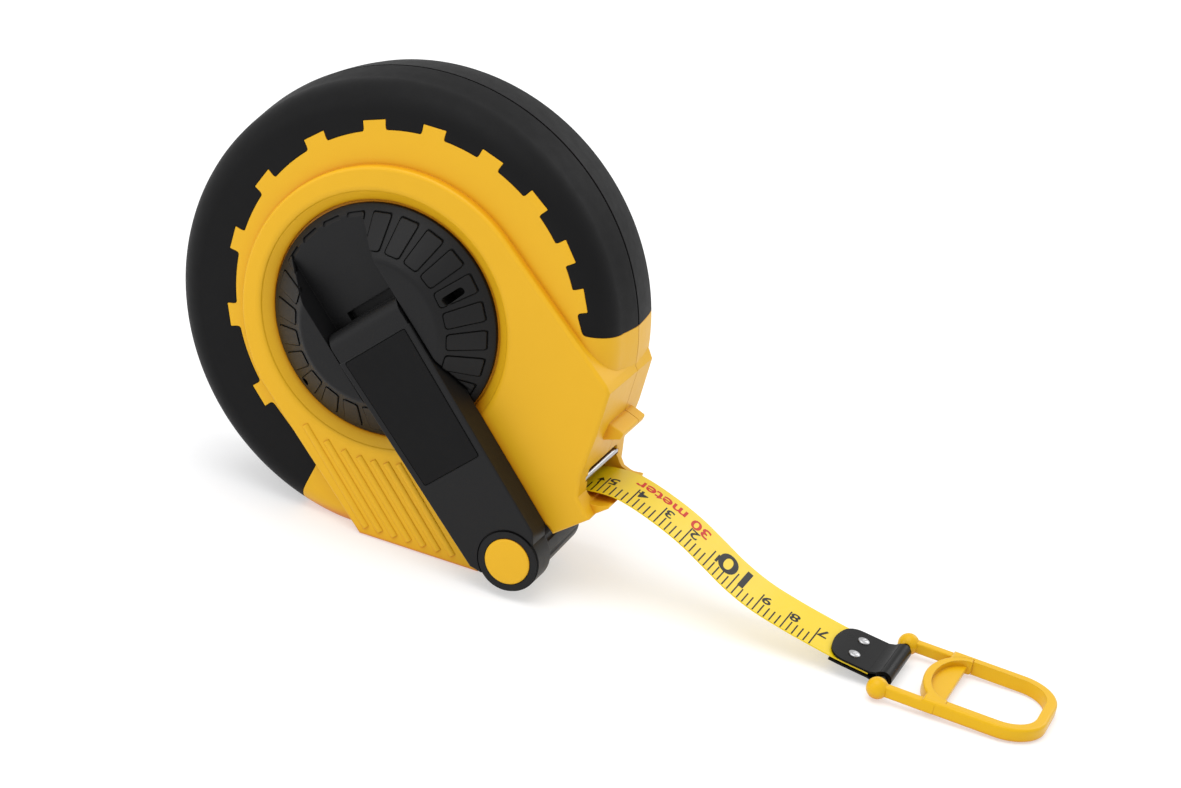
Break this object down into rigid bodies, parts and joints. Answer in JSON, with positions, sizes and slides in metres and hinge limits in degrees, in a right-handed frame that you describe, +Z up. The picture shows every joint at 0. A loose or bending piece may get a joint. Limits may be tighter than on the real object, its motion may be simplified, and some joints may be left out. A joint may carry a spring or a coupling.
{
  "type": "tape measure",
  "caption": "Round hand-held reel tape measure with a folding winding crank, rubber grips, a short length of tape drawn out and a finger ring on its end.",
  "frame": {"origin": "middle of the flat foot, on the plane it stands on and in the middle plane of the tape", "axes": "+Z up, +X towards the mouth and the drawn-out tape, +Y to the rear face, away from the crank"},
  "size_m": [0.2983, 0.0562, 0.1461],
  "materials": {
    "case_yellow": "fine satin moulded plastic, amber yellow",
    "grip_rubber": "soft matt black over-moulded rubber",
    "polished_steel": "bright plated steel",
    "inner_plastic": "plain ivory moulded plastic",
    "tape_print": "yellow coated glass-fibre tape with printed scale",
    "crank_black": "fine textured black plastic",
    "clip_black": "gloss black steel sheet",
    "ring_orange": "glossy orange-yellow moulded plastic"
  },
  "bodies": {
    "case": {"front_cover": "case_yellow", "rear_cover": "case_yellow", "front_rubber_grip": "grip_rubber", "rear_rubber_grip": "grip_rubber", "mouth_guide_bar": "polished_steel", "case_screw_1": "polished_steel", "case_screw_2": "polished_steel", "case_screw_3": "polished_steel", "case_screw_4": "polished_steel", "case_screw_5": "polished_steel", "front_bush": "inner_plastic", "rear_bush": "inner_plastic", "tape_blade": "tape_print", "tape_end_clip": "clip_black", "clip_rivet_1": "polished_steel", "clip_rivet_2": "polished_steel", "ring_pin": "polished_steel"},
    "reel": {"reel_drum": "inner_plastic", "reel_flange_front": "inner_plastic", "reel_flange_rear": "inner_plastic", "wound_tape": "tape_print", "tape_anchor_wedge": "inner_plastic", "reel_axle": "polished_steel"},
    "crank": {"crank_disc": "crank_black", "crank_screw": "polished_steel", "arm_hinge_pin": "polished_steel"},
    "arm": {"crank_arm": "crank_black", "arm_thumb_pad": "grip_rubber", "knob_cap": "case_yellow", "knob_spindle": "polished_steel"},
    "knob": {"winding_knob": "crank_black"},
    "ring": {"end_ring": "ring_orange"}
  },
  "joints": [
    {"name": "reel_spin", "type": "hinge", "parent": "case", "child": "reel", "pos_m": [-0.011, 0, 0.0712], "axis": [0, 1, 0], "continuous": true},
    {"name": "crank_turn", "type": "hinge", "parent": "case", "child": "crank", "pos_m": [-0.011, 0, 0.0712], "axis": [0, 1, 0], "range_deg": [-1.2, 1.2]},
    {"name": "arm_fold", "type": "hinge", "parent": "crank", "child": "arm", "pos_m": [-0.011, -0.02545, 0.0712], "axis": [-0.7206, 0, -0.6934], "range_deg": [0, 180]},
    {"name": "knob_spin", "type": "hinge", "parent": "arm", "child": "knob", "pos_m": [0.04551, 0, 0.01247], "axis": [0, 1, 0], "continuous": true},
    {"name": "ring_swing", "type": "hinge", "parent": "case", "child": "ring", "pos_m": [0.1624, 0, 0.0037], "axis": [0, -1, 0], "range_deg": [0, 140]}
  ]
}
